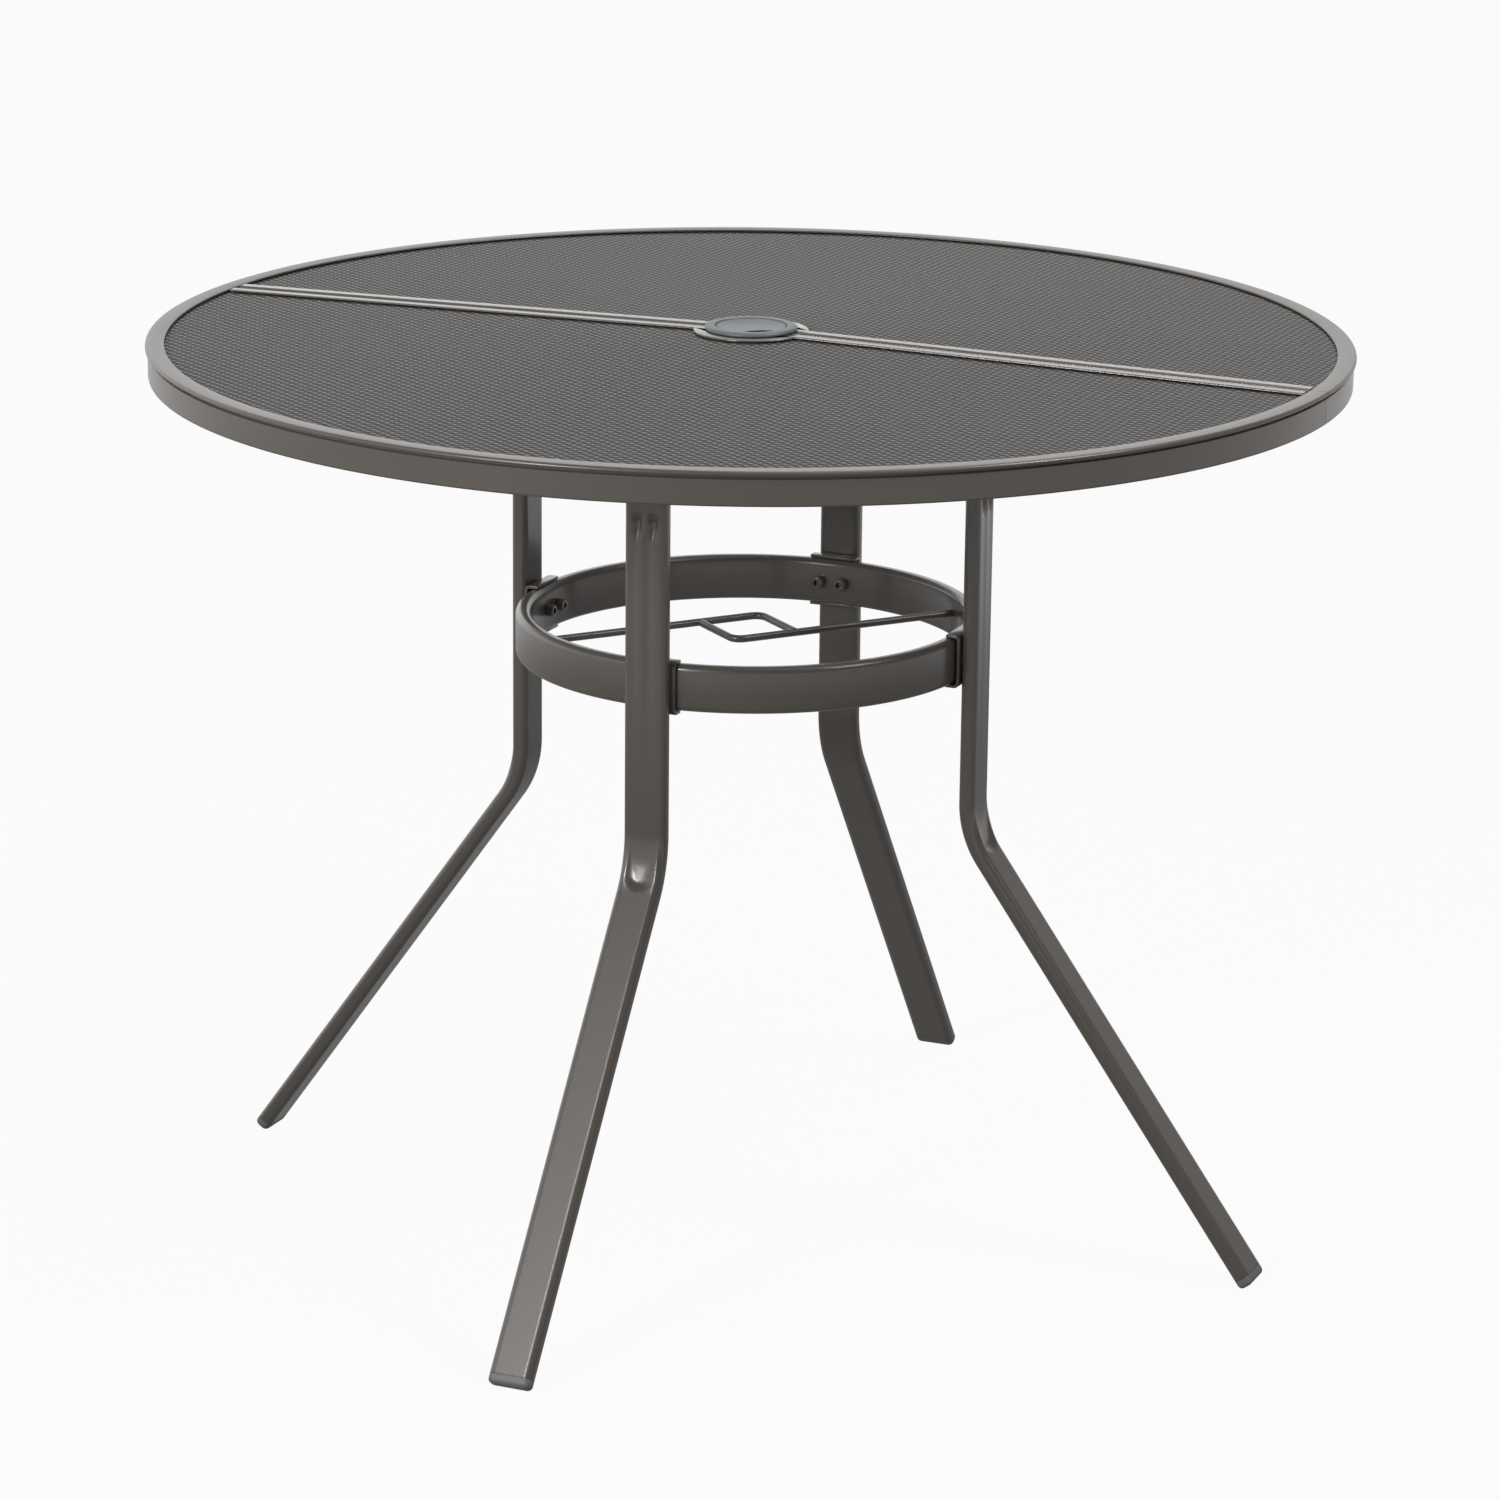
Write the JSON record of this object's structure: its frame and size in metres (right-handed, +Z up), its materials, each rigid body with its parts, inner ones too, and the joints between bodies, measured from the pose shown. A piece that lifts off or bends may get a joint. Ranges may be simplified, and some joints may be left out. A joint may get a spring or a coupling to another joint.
{
  "type": "umbrella table",
  "caption": "Round steel mesh garden table with an umbrella hole and lift-out cap, bent flat tube legs and a ring brace whose rods guide the pole.",
  "frame": {"origin": "on the floor, under the centre of the umbrella hole", "axes": "+Z up; +X along the seam of the top towards the right leg; +Y towards the rear leg"},
  "size_m": [0.95, 0.95, 0.7353],
  "materials": {
    "frame_paint": "satin powder coat, dark warm grey",
    "clamp_paint": "satin powder coat, dark warm grey",
    "mesh_paint": "matt powder coat, mid grey",
    "grommet_plastic": "moulded, satin grey",
    "foot_plastic": "moulded, satin grey",
    "screw_steel": "blackened"
  },
  "bodies": {
    "table": {"front_rim": "frame_paint", "front_seam_bar": "frame_paint", "front_mesh_panel": "mesh_paint", "rear_rim": "frame_paint", "rear_seam_bar": "frame_paint", "rear_mesh_panel": "mesh_paint", "hole_grommet": "grommet_plastic", "right_leg": "frame_paint", "right_foot_cap": "foot_plastic", "right_saddle_clamp": "clamp_paint", "right_ring_screw_a": "screw_steel", "right_rivet_nut_a": "screw_steel", "right_arm_screw_a": "screw_steel", "right_ring_screw_b": "screw_steel", "right_rivet_nut_b": "screw_steel", "right_arm_screw_b": "screw_steel", "right_rim_lug_a": "clamp_paint", "right_rim_lug_b": "clamp_paint", "rear_leg": "frame_paint", "rear_foot_cap": "foot_plastic", "rear_saddle_clamp": "clamp_paint", "rear_ring_screw_a": "screw_steel", "rear_rivet_nut_a": "screw_steel", "rear_arm_screw_a": "screw_steel", "rear_ring_screw_b": "screw_steel", "rear_rivet_nut_b": "screw_steel", "rear_arm_screw_b": "screw_steel", "rear_rim_lug": "clamp_paint", "left_leg": "frame_paint", "left_foot_cap": "foot_plastic", "left_saddle_clamp": "clamp_paint", "left_ring_screw_a": "screw_steel", "left_rivet_nut_a": "screw_steel", "left_arm_screw_a": "screw_steel", "left_ring_screw_b": "screw_steel", "left_rivet_nut_b": "screw_steel", "left_arm_screw_b": "screw_steel", "left_rim_lug_a": "clamp_paint", "left_rim_lug_b": "clamp_paint", "front_leg": "frame_paint", "front_foot_cap": "foot_plastic", "front_saddle_clamp": "clamp_paint", "front_ring_screw_a": "screw_steel", "front_rivet_nut_a": "screw_steel", "front_arm_screw_a": "screw_steel", "front_ring_screw_b": "screw_steel", "front_rivet_nut_b": "screw_steel", "front_arm_screw_b": "screw_steel", "front_rim_lug": "clamp_paint", "ring_brace": "frame_paint", "left_pole_guide_rod": "frame_paint", "right_pole_guide_rod": "frame_paint"},
    "cap": {"hole_cap": "grommet_plastic"}
  },
  "joints": [
    {"name": "cap_lift", "type": "slide", "parent": "table", "child": "cap", "axis": [0, 0, 1], "range_m": [0, 0.06]}
  ]
}
